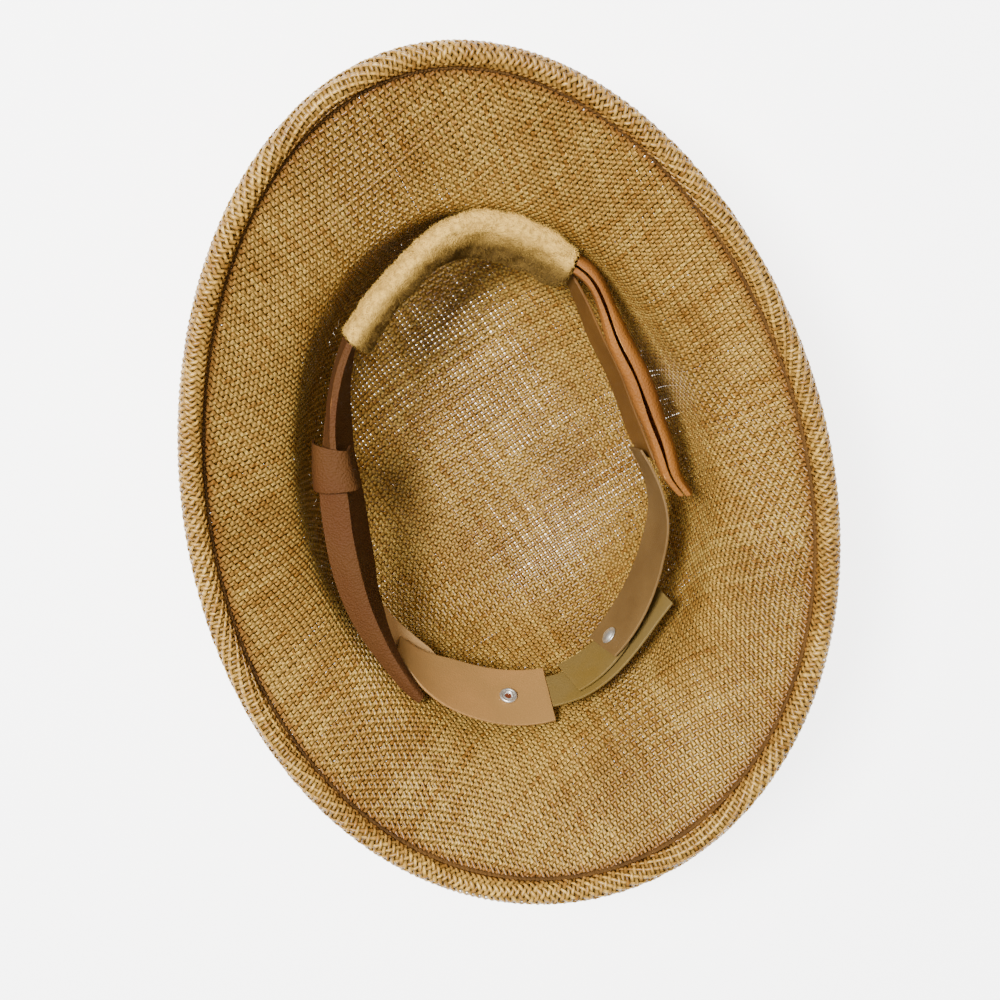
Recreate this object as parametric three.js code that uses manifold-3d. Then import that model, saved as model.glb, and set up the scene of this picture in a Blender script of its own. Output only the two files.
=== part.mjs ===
// Pith helmet of woven straw, lying on its crown: a moulded straw shell with a rolled edge and an
// adjustable headband of a brow pad, folded leather sweatbands and snap straps.
// Millimetres, +Z up. The front of the hat faces -Y and the wearer's right is +X.
// The origin is under the middle of the hat, on the surface that the crown rests on.
import * as THREE from 'three';
import { mergeVertices } from 'three/addons/utils/BufferGeometryUtils.js';
import Module from 'manifold-3d';

// Straw shell
const HAT_LENGTH = 353; // over the rolled edge, front to back
const HAT_WIDTH = 263; // over the rolled edge, side to side
const HAT_HEIGHT = 146; // crown top to the tips of the brim
const RIM_EGG = 0.08; // how much fuller the rim is behind than in front
const SIDE_DROP = 14; // how much lower the rim lies at the sides than at its tips
const ROLL_DIAMETER = 10; // the hem, rolled over a wire
const STRAW_WALL = 2; // two layers of woven straw
const CROWN_DEPTH = 90; // crown top to the turn where the brim begins
const CROWN_EGG = 0.06;

// Headband
const BAND_LENGTH = 224; // the oval that the headband follows, front to back
const BAND_WIDTH = 156;
const BAND_HEIGHT = 28;
const BAND_TOP = 98; // crown top to the headband's upper edge
const FRONT_SPACE = 0.5; // from the headband's oval to the crown's wall in front
const BACK_SPACE = 6;
const SIDE_SPACE = 10;
const LEATHER = 1.8; // thickness of the sweatbands
const STRAP = 1.2; // thickness of the snap straps and tan bands
const PAD_FOAM = 4; // thickness of the brow pad's folded foam
const PAD_SLOT = 4.4; // free width inside the fold of the pad
const SNAP_DIAMETER = 8;
const SNAP_HEIGHT = 2;
const SNAP_HOLE = 3.4; // mouth of the snap's socket
const STRAP_HOLE = 4.4; // torn hole at the end of the right tan band
const STRAP_HOLE_PLACE = 0.84; // hole and snaps, as shares of the length of the strap that they are in
const SNAP_CAP_PLACE = 0.88;
const SNAP_SOCKET_PLACE = 0.76;
const GAP = 0.3; // between pieces that touch
const SNAP_SEAT = 0.45; // from a strap's face to a snap, more than the gap for the strap's bend
const EDGE_SETBACK = 2 * GAP; // from the rolled edge to the middle of the wall's end

// How finely the round forms are divided
const STEPS_ROUND = 72;
const STEPS_UP = 17;
const TURN_STEP = 11; // step of STEPS_UP at which crown and brim part
const ROLL_SIDES = 8;
const SNAP_SIDES = 14;
const STRAP_ACROSS = 3;
const STEPS_LEATHER_LEFT = 22; // along each leather piece and the pad
const STEPS_LEATHER_RIGHT = 28;
const STEPS_KEEPER = 5;
const STEPS_PAD = 20;
const BISECTIONS = 22; // halvings in a search for a point on the wall
const TINY_TURN = 0.001; // radians, to measure a direction along the rim

const wasm = await Module();
wasm.setup();

const radians = (degrees) => (degrees * Math.PI) / 180;
const ROLL_RADIUS = ROLL_DIAMETER / 2;

// Sections of the shell, from the edge of the crown's flat top to the centre of the rolled edge.
// reach: share of the crown's oval. low: share of the crown's depth.
// out and rise: share of the way from the turn to the rim, level and upward.
const SECTIONS = [
  { reach: 0.28, low: 0.0, out: 0.0, rise: 0.0 },
  { reach: 0.47, low: 0.025, out: 0.0, rise: 0.0 },
  { reach: 0.65, low: 0.095, out: 0.0, rise: 0.0 },
  { reach: 0.8, low: 0.23, out: 0.0, rise: 0.0 },
  { reach: 0.9, low: 0.44, out: 0.0, rise: 0.0 },
  { reach: 0.952, low: 0.66, out: 0.0, rise: 0.0 },
  { reach: 0.975, low: 0.84, out: 0.0, rise: 0.0 },
  { reach: 1.0, low: 1.0, out: 0.0, rise: 0.0 },
  { reach: 1.0, low: 1.0, out: 0.09, rise: 0.22 },
  { reach: 1.0, low: 1.0, out: 0.33, rise: 0.48 },
  { reach: 1.0, low: 1.0, out: 0.66, rise: 0.74 },
  { reach: 1.0, low: 1.0, out: 1.0, rise: 1.0 },
];

// The value of a column at a share of the way down a table, on a smooth curve through its rows.
function column(rows, name, share) {
  const at = Math.min(Math.max(share, 0), 1) * (rows.length - 1);
  const first = Math.min(Math.floor(at), rows.length - 2);
  const value = (index) => rows[Math.min(Math.max(index, 0), rows.length - 1)][name];
  const [a, b, c, d] = [-1, 0, 1, 2].map((step) => value(first + step));
  const t = at - first;
  const slopeIn = (c - a) / 2;
  const slopeOut = (d - b) / 2;
  const bend = 3 * (c - b) - 2 * slopeIn - slopeOut;
  const twist = 2 * (b - c) + slopeIn + slopeOut;
  return b + t * (slopeIn + t * (bend + t * twist));
}

// A point of an egg-shaped oval. turn is 0 in front and grows towards +X.
function oval(halfWidth, front, back, egg, turn) {
  const middle = (back - front) / 2;
  const halfLength = (front + back) / 2;
  const x = halfWidth * Math.sin(turn) * (1 - egg * Math.cos(turn));
  return new THREE.Vector2(x, middle - halfLength * Math.cos(turn));
}

function crownOval(turn) {
  const halfBand = BAND_LENGTH / 2;
  return oval(BAND_WIDTH / 2 + SIDE_SPACE, halfBand + FRONT_SPACE, halfBand + BACK_SPACE, CROWN_EGG, turn);
}

// The centre line of the rolled edge.
function rimPoint(turn) {
  const halfLength = HAT_LENGTH / 2 - ROLL_RADIUS;
  const plan = oval(HAT_WIDTH / 2 - ROLL_RADIUS, halfLength, halfLength, RIM_EGG, turn);
  const z = HAT_HEIGHT - ROLL_RADIUS - SIDE_DROP * Math.sin(turn) ** 2;
  return new THREE.Vector3(plan.x, plan.y, z);
}

// The middle of the straw wall. share is 0 at the crown's flat top and 1 at the rim.
function shellPoint(turn, share) {
  const value = (name) => column(SECTIONS, name, share);
  const crown = crownOval(turn).multiplyScalar(value('reach'));
  const rim = rimPoint(turn);
  const turnHeight = STRAW_WALL / 2 + (CROWN_DEPTH - STRAW_WALL / 2) * value('low');
  return new THREE.Vector3(
    THREE.MathUtils.lerp(crown.x, rim.x, value('out')),
    THREE.MathUtils.lerp(crown.y, rim.y, value('out')),
    THREE.MathUtils.lerp(turnHeight, rim.z, value('rise')),
  );
}

// The value between low and high at which a rising function passes zero.
function solve(rising, low, high) {
  let [a, b] = [low, high];
  for (let step = 0; step < BISECTIONS; step += 1) {
    const middle = (a + b) / 2;
    if (rising(middle) > 0) b = middle;
    else a = middle;
  }
  return (a + b) / 2;
}

const bearingOf = (point) => Math.atan2(point.x, -point.y);

// Distance from the hat's axis to the inner face of the wall, on a bearing and at a height. The hat is
// the same on both sides, so the search runs on one.
function wallRadius(bearing, height) {
  const aside = Math.acos(Math.cos(bearing));
  const short = (turn, share) => bearingOf(shellPoint(turn, share)) - aside;
  const turnAt = (share) => solve((turn) => short(turn, share), 0, Math.PI - TINY_TURN);
  const share = solve((s) => shellPoint(turnAt(s), s).z - height, 0, 1);
  const point = shellPoint(turnAt(share), share);
  return Math.hypot(point.x, point.y) - STRAW_WALL / 2;
}

// Closed solids from points

function bufferGeometry(points, triangles) {
  const geometry = new THREE.BufferGeometry();
  const positions = points.flatMap((point) => [point.x, point.y, point.z]);
  geometry.setAttribute('position', new THREE.Float32BufferAttribute(positions, 3));
  const [a, b, c, cross] = [0, 1, 2, 3].map(() => new THREE.Vector3());
  let volume = 0;
  for (const [i, j, k] of triangles) {
    a.copy(points[i]);
    b.copy(points[j]);
    c.copy(points[k]);
    volume += a.dot(cross.crossVectors(b, c));
  }
  const facing = volume > 0 ? triangles : triangles.map(([i, j, k]) => [i, k, j]);
  geometry.setIndex(facing.flat());
  geometry.computeVertexNormals();
  return geometry;
}

// Two triangles for each cell of a grid of point numbers. A closed grid joins its last row to its first.
function gridTriangles(rows, columns, number, closedRows, closedColumns) {
  const triangles = [];
  for (let i = 0; i < (closedRows ? rows : rows - 1); i += 1) {
    for (let j = 0; j < (closedColumns ? columns : columns - 1); j += 1) {
      const [a, b] = [number(i, j), number((i + 1) % rows, j)];
      const [c, d] = [number((i + 1) % rows, (j + 1) % columns), number(i, (j + 1) % columns)];
      triangles.push([a, b, c], [a, c, d]);
    }
  }
  return triangles;
}

// A sheet of even thickness around a grid of points: rows run along it, columns across it.
function sheet(grid, thickness) {
  const rows = grid.length;
  const columns = grid[0].length;
  const at = (i, j) => grid[Math.min(Math.max(i, 0), rows - 1)][Math.min(Math.max(j, 0), columns - 1)];
  const face = (side) =>
    grid.flatMap((row, i) =>
      row.map((point, j) => {
        const along = at(i + 1, j).clone().sub(at(i - 1, j));
        const across = at(i, j + 1).clone().sub(at(i, j - 1));
        return along.cross(across).normalize().multiplyScalar((side * thickness) / 2).add(point);
      }),
    );
  const loop = [...face(1), ...face(-1)];
  const number = (i, j) => i * columns + j;
  const other = (i, j) => number(i, j) + rows * columns;
  const triangles = [
    ...gridTriangles(rows, columns, number, false, false),
    ...gridTriangles(rows, columns, other, false, false).map(([a, b, c]) => [a, c, b]),
  ];
  const edge = [];
  for (let i = 0; i < rows - 1; i += 1) edge.push([i, 0]);
  for (let j = 0; j < columns - 1; j += 1) edge.push([rows - 1, j]);
  for (let i = rows - 1; i > 0; i -= 1) edge.push([i, columns - 1]);
  for (let j = columns - 1; j > 0; j -= 1) edge.push([0, j]);
  edge.forEach(([i, j], index) => {
    const [k, l] = edge[(index + 1) % edge.length];
    triangles.push([number(i, j), other(k, l), number(k, l)], [number(i, j), other(i, j), other(k, l)]);
  });
  return bufferGeometry(loop, triangles);
}

const materials = {
  straw: { color: 0xbe914a, roughness: 0.55, metalness: 0 },
  leather: { color: 0x9a5f2e, roughness: 0.6, metalness: 0 },
  tan: { color: 0xa98a60, roughness: 0.45, metalness: 0 },
  khaki: { color: 0x8f7d48, roughness: 0.6, metalness: 0 },
  foam: { color: 0xb3a263, roughness: 0.95, metalness: 0 },
  steel: { color: 0xb8b8b4, roughness: 0.3, metalness: 0.9 },
};

const hat = new THREE.Group();
function addPiece(name, geometry, material) {
  const mesh = new THREE.Mesh(geometry, new THREE.MeshStandardMaterial(materials[material]));
  mesh.name = name;
  hat.add(mesh);
  return mesh;
}

// The middle of the straw wall and its outward normals, by rows around and columns up to the rolled edge.
function strawGrid() {
  const mid = [];
  for (let i = 0; i < STEPS_ROUND; i += 1) {
    const turn = (i / STEPS_ROUND) * 2 * Math.PI;
    const meridian = [];
    for (let j = 0; j < STEPS_UP; j += 1) meridian.push(shellPoint(turn, j / STEPS_UP));
    const rim = rimPoint(turn);
    const inward = meridian[STEPS_UP - 1].clone().sub(rim).normalize();
    meridian.push(rim.addScaledVector(inward, ROLL_RADIUS + EDGE_SETBACK));
    mid.push(meridian);
  }
  const along = (i, j) => {
    const [below, above] = [Math.max(j - 1, 0), Math.min(j + 1, STEPS_UP)];
    return mid[i][above].clone().sub(mid[i][below]).normalize();
  };
  const normal = mid.map((meridian, i) =>
    meridian.map((point, j) => {
      if (j === 0) return new THREE.Vector3(0, 0, -1);
      const [before, after] = [(i + STEPS_ROUND - 1) % STEPS_ROUND, (i + 1) % STEPS_ROUND];
      return mid[after][j].clone().sub(mid[before][j]).cross(along(i, j)).normalize();
    }),
  );
  return { mid, normal, along };
}

// The wall between two steps of the grid. Crown and brim part at TURN_STEP, half the gap from it each.
// The crown is closed by a pole at its top.
function strawWall(first, last) {
  const { mid, normal, along } = strawGrid();
  const columns = last - first + 1;
  const pointAt = (i, j, side) => {
    const point = mid[i][j].clone().addScaledVector(normal[i][j], (side * STRAW_WALL) / 2);
    if (j === TURN_STEP) point.addScaledVector(along(i, j), (j === first ? GAP : -GAP) / 2);
    return point;
  };
  const steps = Array.from({ length: columns }, (_, j) => first + j);
  const face = (side) => mid.flatMap((meridian, i) => steps.map((j) => pointAt(i, j, side)));
  const outer = (i, j) => (i % STEPS_ROUND) * columns + j;
  const inner = (i, j) => outer(i, j) + STEPS_ROUND * columns;
  const points = [...face(1), ...face(-1)];
  const triangles = [
    ...gridTriangles(STEPS_ROUND, columns, outer, true, false),
    ...gridTriangles(STEPS_ROUND, columns, inner, true, false).map(([a, b, c]) => [a, c, b]),
  ];
  const closeEdge = (j, flip) => {
    for (let i = 0; i < STEPS_ROUND; i += 1) {
      const strip = [
        [outer(i, j), outer(i + 1, j), inner(i + 1, j)],
        [outer(i, j), inner(i + 1, j), inner(i, j)],
      ];
      triangles.push(...(flip ? strip.map(([a, b, c]) => [a, c, b]) : strip));
    }
  };
  closeEdge(columns - 1, false);
  if (first > 0) {
    closeEdge(0, true);
    return bufferGeometry(points, triangles);
  }
  const middle = crownOval(0).add(crownOval(Math.PI)).multiplyScalar(SECTIONS[0].reach / 2);
  const [outerPole, innerPole] = [points.length, points.length + 1];
  points.push(new THREE.Vector3(middle.x, middle.y, 0), new THREE.Vector3(middle.x, middle.y, STRAW_WALL));
  for (let i = 0; i < STEPS_ROUND; i += 1) {
    triangles.push([outerPole, outer(i + 1, 0), outer(i, 0)]);
    triangles.push([innerPole, inner(i, 0), inner(i + 1, 0)]);
  }
  return bufferGeometry(points, triangles);
}

// The hem, as a tube along the rim.
function rolledEdge() {
  const points = [];
  for (let i = 0; i < STEPS_ROUND; i += 1) {
    const turn = (i / STEPS_ROUND) * 2 * Math.PI;
    const centre = rimPoint(turn);
    const along = rimPoint(turn + TINY_TURN).sub(rimPoint(turn - TINY_TURN)).normalize();
    const outward = new THREE.Vector3(along.y, -along.x, 0).normalize();
    const upward = new THREE.Vector3().crossVectors(along, outward).normalize();
    for (let k = 0; k < ROLL_SIDES; k += 1) {
      const angle = (k / ROLL_SIDES) * 2 * Math.PI;
      const point = centre.clone().addScaledVector(outward, ROLL_RADIUS * Math.cos(angle));
      points.push(point.addScaledVector(upward, ROLL_RADIUS * Math.sin(angle)));
    }
  }
  const number = (i, k) => i * ROLL_SIDES + k;
  return bufferGeometry(points, gridTriangles(STEPS_ROUND, ROLL_SIDES, number, true, true));
}

// A point of the headband: a share of its oval's radius on a bearing in degrees, and a share of its height.
function bandPoint(bearingDegrees, share, up) {
  const bearing = radians(bearingDegrees);
  const height = BAND_TOP - (1 - up) * BAND_HEIGHT;
  const radius = 1 / Math.hypot(Math.sin(bearing) / (BAND_WIDTH / 2), Math.cos(bearing) / (BAND_LENGTH / 2));
  return new THREE.Vector3(share * radius * Math.sin(bearing), -share * radius * Math.cos(bearing), height);
}

// Moves points inward together until the one nearest to the crown's wall is the gap clear of it.
function clearOfWall(points, thickness) {
  const beyond = points.map((point) => {
    const room = wallRadius(bearingOf(point), point.z) - GAP - thickness / 2;
    return Math.hypot(point.x, point.y) - room;
  });
  const excess = Math.max(0, ...beyond);
  return points.map((point) => {
    const outward = new THREE.Vector3(point.x, point.y, 0).normalize();
    return point.clone().addScaledVector(outward, -excess);
  });
}

// A flat strap. Each row of its table gives its lower and upper edge.
function strapGrid(rows, steps, across, thickness) {
  const grid = [];
  for (let i = 0; i <= steps; i += 1) {
    const value = (name) => column(rows, name, i / steps);
    const lower = bandPoint(value('bearing'), value('low'), value('lowUp'));
    const upper = bandPoint(value('bearing') + value('slant'), value('top'), value('topUp'));
    const [low] = clearOfWall([lower], thickness);
    const [top] = clearOfWall([upper], thickness);
    const line = [];
    for (let j = 0; j <= across; j += 1) line.push(low.clone().lerp(top, j / across));
    grid.push(line);
  }
  return grid;
}

// Straps and bands, by bearing in degrees from the front towards +X. low and top are shares of the band's
// oval at the lower and upper edge, lowUp and topUp their heights as shares of the band's height, and slant
// turns the upper edge further round, for ends that are cut askew.
const TAN_BAND_LEFT = [
  { bearing: -29, low: 0.876, lowUp: 0.2, top: 0.905, topUp: 0.62, slant: 0 },
  { bearing: -32, low: 0.872, lowUp: 0.14, top: 0.902, topUp: 0.64, slant: 0 },
  { bearing: -38, low: 0.822, lowUp: 0.04, top: 0.866, topUp: 0.66, slant: 0 },
  { bearing: -49, low: 0.756, lowUp: 0, top: 0.812, topUp: 0.64, slant: 0 },
  { bearing: -62, low: 0.744, lowUp: 0, top: 0.797, topUp: 0.62, slant: 0 },
  { bearing: -77, low: 0.738, lowUp: 0, top: 0.79, topUp: 0.62, slant: 0 },
  { bearing: -91, low: 0.752, lowUp: 0, top: 0.812, topUp: 0.66, slant: 0 },
  { bearing: -99, low: 0.79, lowUp: 0.02, top: 0.834, topUp: 0.74, slant: 0 },
];
const SNAP_STRAP_LEFT = [
  { bearing: -96, low: 0.74, lowUp: 0.08, top: 0.766, topUp: 0.8, slant: 2 },
  { bearing: -108, low: 0.806, lowUp: 0.02, top: 0.844, topUp: 0.88, slant: 0 },
  { bearing: -120, low: 0.84, lowUp: 0, top: 0.885, topUp: 1, slant: 0 },
  { bearing: -133, low: 0.828, lowUp: 0, top: 0.886, topUp: 1, slant: 0 },
  { bearing: -147, low: 0.818, lowUp: 0, top: 0.886, topUp: 1, slant: 1 },
  { bearing: -158, low: 0.82, lowUp: 0, top: 0.886, topUp: 1, slant: 2 },
  { bearing: -166, low: 0.835, lowUp: 0.02, top: 0.886, topUp: 0.98, slant: 4 },
];
const ADJUSTER_INNER = [
  { bearing: -157, low: 0.852, lowUp: 0.12, top: 0.906, topUp: 0.86, slant: 0 },
  { bearing: -164, low: 0.854, lowUp: 0.1, top: 0.914, topUp: 0.88, slant: 1 },
  { bearing: -171, low: 0.858, lowUp: 0.1, top: 0.922, topUp: 0.88, slant: 2 },
  { bearing: -177, low: 0.862, lowUp: 0.12, top: 0.928, topUp: 0.86, slant: 3 },
];
const ADJUSTER_OUTER = [
  { bearing: -141, low: 0.945, lowUp: 0.4, top: 1.0, topUp: 0.9, slant: 0 },
  { bearing: -148, low: 0.905, lowUp: 0.28, top: 0.965, topUp: 0.92, slant: 0 },
  { bearing: -156, low: 0.888, lowUp: 0.18, top: 0.95, topUp: 0.94, slant: 0 },
  { bearing: -164, low: 0.886, lowUp: 0.14, top: 0.95, topUp: 0.94, slant: 0 },
  { bearing: -172, low: 0.89, lowUp: 0.2, top: 0.955, topUp: 0.92, slant: 0 },
  { bearing: -177, low: 0.888, lowUp: 0.24, top: 0.952, topUp: 0.9, slant: 0 },
  { bearing: -181, low: 0.885, lowUp: 0.26, top: 0.95, topUp: 0.9, slant: 0 },
];
const SNAP_STRAP_RIGHT = [
  { bearing: 137, low: 0.97, lowUp: 0.16, top: 1.0, topUp: 0.64, slant: 0 },
  { bearing: 145, low: 0.95, lowUp: 0.1, top: 1.03, topUp: 0.84, slant: 0 },
  { bearing: 153, low: 0.905, lowUp: 0.04, top: 1.04, topUp: 0.9, slant: 0 },
  { bearing: 162, low: 0.88, lowUp: 0.02, top: 1.03, topUp: 0.92, slant: 0 },
  { bearing: 171, low: 0.868, lowUp: 0.02, top: 1.02, topUp: 0.92, slant: 0 },
  { bearing: 179, low: 0.865, lowUp: 0.04, top: 1.01, topUp: 0.9, slant: 0 },
];
const TAN_BAND_RIGHT = [
  { bearing: 112, low: 0.905, lowUp: -0.02, top: 0.95, topUp: 0.74, slant: 0 },
  { bearing: 122, low: 0.95, lowUp: -0.12, top: 0.99, topUp: 0.7, slant: 0 },
  { bearing: 132, low: 0.958, lowUp: -0.24, top: 1.03, topUp: 0.6, slant: 0 },
  { bearing: 141, low: 0.95, lowUp: -0.3, top: 1.035, topUp: 0.5, slant: 0 },
  { bearing: 148, low: 0.945, lowUp: -0.28, top: 1.01, topUp: 0.34, slant: 0 },
  { bearing: 151, low: 0.955, lowUp: -0.1, top: 0.985, topUp: 0.14, slant: 0 },
];

const straps = {
  tan_band_left: { rows: TAN_BAND_LEFT, steps: 20, material: 'tan' },
  snap_strap_left: { rows: SNAP_STRAP_LEFT, steps: 20, material: 'tan' },
  adjuster_strap_inner: { rows: ADJUSTER_INNER, steps: 6, material: 'khaki' },
  adjuster_strap_outer: { rows: ADJUSTER_OUTER, steps: 12, material: 'khaki' },
  snap_strap_right: { rows: SNAP_STRAP_RIGHT, steps: 12, material: 'tan' },
  tan_band_right: { rows: TAN_BAND_RIGHT, steps: 14, material: 'tan', hole: STRAP_HOLE_PLACE },
};

// The left sweatband: leather folded lengthwise into a soft tube, with a slit between its two lips at the
// top. middle is the slit's share of the band's oval, open the width of the tube as a share of FOLD_WIDTH.
const SWEATBAND_LEFT = [
  { bearing: -32, middle: 0.952, open: 0.5, up: 0.92 },
  { bearing: -39, middle: 0.934, open: 0.6, up: 1 },
  { bearing: -52, middle: 0.855, open: 0.95, up: 1.02 },
  { bearing: -66, middle: 0.848, open: 1, up: 1.02 },
  { bearing: -80, middle: 0.845, open: 0.95, up: 1.02 },
  { bearing: -94, middle: 0.872, open: 0.8, up: 1.02 },
  { bearing: -104, middle: 0.9, open: 0.6, up: 1.0 },
  { bearing: -110, middle: 0.97, open: 0.5, up: 0.98 },
];
const FOLD_DEPTH = 18;
const FOLD_WIDTH = 8.2; // between the middles of its two sides, beside the slit
const FOLD_LEAN = 3; // how much further out the fold's bottom lies than its lips
const LIP_SLIT = 1.6; // free width between the lips
// Half of the fold's section, from a lip's edge to the bottom. aside is a share of half its width.
const FOLD_SECTION = [
  { aside: 0, lean: 0, down: 0 },
  { aside: 0.5, lean: 0, down: 0 },
  { aside: 0.88, lean: 0.08, down: 0.1 },
  { aside: 1, lean: 0.4, down: 0.36 },
  { aside: 0.85, lean: 0.85, down: 0.74 },
];
function sweatbandLeft() {
  const grid = [];
  for (let i = 0; i <= STEPS_LEATHER_LEFT; i += 1) {
    const value = (name) => column(SWEATBAND_LEFT, name, i / STEPS_LEATHER_LEFT);
    const top = bandPoint(value('bearing'), value('middle'), value('up'));
    const outward = new THREE.Vector3(top.x, top.y, 0).normalize();
    const place = (across, lean, down) => {
      const point = top.clone().addScaledVector(outward, across + lean * FOLD_LEAN);
      point.z -= down * FOLD_DEPTH;
      return point;
    };
    const half = (side) =>
      FOLD_SECTION.map(({ aside, lean, down }) =>
        place((side * (LIP_SLIT + aside * value('open') * FOLD_WIDTH)) / 2, lean, down),
      );
    grid.push(clearOfWall([...half(-1), place(0, 1, 1), ...half(1).reverse()], LEATHER));
  }
  return sheet(grid, LEATHER);
}

// The right sweatband: leather whose upper part is folded over and out. low, ridge and flap are shares
// of the band's oval at the lower edge, the fold and the folded flap's edge.
const SWEATBAND_RIGHT = [
  { bearing: 35.6, low: 0.855, lowUp: 0.1, ridge: 0.875, ridgeUp: 0.9, flap: 0.91, flapUp: 0.5 },
  { bearing: 44, low: 0.84, lowUp: 0.02, ridge: 0.885, ridgeUp: 0.98, flap: 0.915, flapUp: 0.6 },
  { bearing: 56, low: 0.818, lowUp: 0, ridge: 0.888, ridgeUp: 1, flap: 0.92, flapUp: 0.66 },
  { bearing: 69, low: 0.802, lowUp: 0, ridge: 0.88, ridgeUp: 1, flap: 0.945, flapUp: 0.74 },
  { bearing: 81, low: 0.786, lowUp: 0, ridge: 0.85, ridgeUp: 1, flap: 0.985, flapUp: 0.84 },
  { bearing: 95, low: 0.794, lowUp: 0, ridge: 0.868, ridgeUp: 1, flap: 1.015, flapUp: 0.86 },
  { bearing: 110, low: 0.838, lowUp: 0, ridge: 0.915, ridgeUp: 1, flap: 1.055, flapUp: 0.86 },
  { bearing: 123, low: 0.92, lowUp: 0.14, ridge: 0.96, ridgeUp: 1, flap: 1.08, flapUp: 0.86 },
  { bearing: 134, low: 0.98, lowUp: 0.7, ridge: 1.0, ridgeUp: 1, flap: 1.085, flapUp: 0.88 },
  { bearing: 142, low: 1.03, lowUp: 0.86, ridge: 1.04, ridgeUp: 1, flap: 1.09, flapUp: 0.92 },
  { bearing: 147, low: 1.06, lowUp: 0.93, ridge: 1.07, ridgeUp: 0.98, flap: 1.09, flapUp: 0.95 },
];
const FLAP_BEND = 0.3; // share of the flap that lies level before it bends down
const INNER_RISE = [0, 0.5, 0.9]; // shares of the way from the lower edge to the ridge
function sweatbandRight() {
  const grid = [];
  for (let i = 0; i <= STEPS_LEATHER_RIGHT; i += 1) {
    const value = (name) => column(SWEATBAND_RIGHT, name, i / STEPS_LEATHER_RIGHT);
    const low = bandPoint(value('bearing'), value('low'), value('lowUp'));
    const ridge = bandPoint(value('bearing'), value('ridge'), value('ridgeUp'));
    const flap = bandPoint(value('bearing'), value('flap'), value('flapUp'));
    const bend = ridge.clone().lerp(flap, FLAP_BEND);
    bend.z = ridge.z;
    const inside = INNER_RISE.map((share) => low.clone().lerp(ridge, share));
    grid.push(clearOfWall([...inside, ridge, bend, flap], LEATHER));
  }
  return sheet(grid, LEATHER);
}

// The brow pad: foam folded over the front of the band. low and top are its middle at both edges.
const BROW_PAD = [
  { bearing: -31, low: 0.865, top: 0.935 },
  { bearing: -25, low: 0.86, top: 0.96 },
  { bearing: -15, low: 0.86, top: 0.96 },
  { bearing: -6, low: 0.862, top: 0.955 },
  { bearing: 3, low: 0.86, top: 0.905 },
  { bearing: 12, low: 0.84, top: 0.856 },
  { bearing: 24, low: 0.832, top: 0.852 },
  { bearing: 34.6, low: 0.832, top: 0.868 },
];
// The pad's section, from its inner edge over the fold: aside as a share of half its width.
const PAD_SECTION = [
  { aside: -1, up: -0.08 },
  { aside: -1, up: 0.4 },
  { aside: -1, up: 0.82 },
  { aside: -0.7, up: 0.98 },
  { aside: 0, up: 1.04 },
  { aside: 0.7, up: 0.98 },
  { aside: 1, up: 0.82 },
  { aside: 1, up: 0.3 },
];
function browPad() {
  const halfWidth = (PAD_SLOT + PAD_FOAM) / 2;
  const grid = [];
  for (let i = 0; i <= STEPS_PAD; i += 1) {
    const value = (name) => column(BROW_PAD, name, i / STEPS_PAD);
    const low = bandPoint(value('bearing'), value('low'), 0);
    const top = bandPoint(value('bearing'), value('top'), 1);
    const outward = new THREE.Vector3(top.x, top.y, 0).normalize();
    const section = PAD_SECTION.map(({ aside, up }) =>
      low.clone().lerp(top, up).addScaledVector(outward, aside * halfWidth),
    );
    grid.push(clearOfWall(section, PAD_FOAM));
  }
  return sheet(grid, PAD_FOAM);
}

// The keeper: a leather loop over the right sweatband, hanging down behind it and inside it.
// inner and outer are the shares of the band's oval at which it hangs inside and behind.
const KEEPER = [
  { bearing: 66.5, inner: 0.81, outer: 1.0 },
  { bearing: 74, inner: 0.796, outer: 1.006 },
  { bearing: 81.5, inner: 0.78, outer: 1.016 },
];
// The keeper's section. across is a share of the way from inner to outer.
const KEEPER_SECTION = [
  { across: 0.98, up: 0.5 },
  { across: 1, up: 0.8 },
  { across: 0.92, up: 0.98 },
  { across: 0.7, up: 1.08 },
  { across: 0.36, up: 1.12 },
  { across: 0.09, up: 1.08 },
  { across: 0, up: 0.96 },
  { across: -0.02, up: 0.56 },
];
function keeper() {
  const grid = [];
  for (let i = 0; i <= STEPS_KEEPER; i += 1) {
    const value = (name) => column(KEEPER, name, i / STEPS_KEEPER);
    const section = KEEPER_SECTION.map(({ across, up }) =>
      bandPoint(value('bearing'), THREE.MathUtils.lerp(value('inner'), value('outer'), across), up),
    );
    grid.push(clearOfWall(section, LEATHER));
  }
  return sheet(grid, LEATHER);
}

// Where a snap or hole sits on a strap: a share of its length, at half its width, facing the head.
function onStrap({ rows, steps }, share) {
  const grid = strapGrid(rows, steps, 2, STRAP);
  const at = Math.round(share * steps);
  const point = grid[at][1].clone();
  const along = grid[at + 1][1].clone().sub(grid[at - 1][1]);
  const facing = along.cross(grid[at][2].clone().sub(grid[at][0])).normalize();
  if (facing.dot(new THREE.Vector3(point.x, point.y, 0)) > 0) facing.negate();
  return { point, facing };
}

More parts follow.
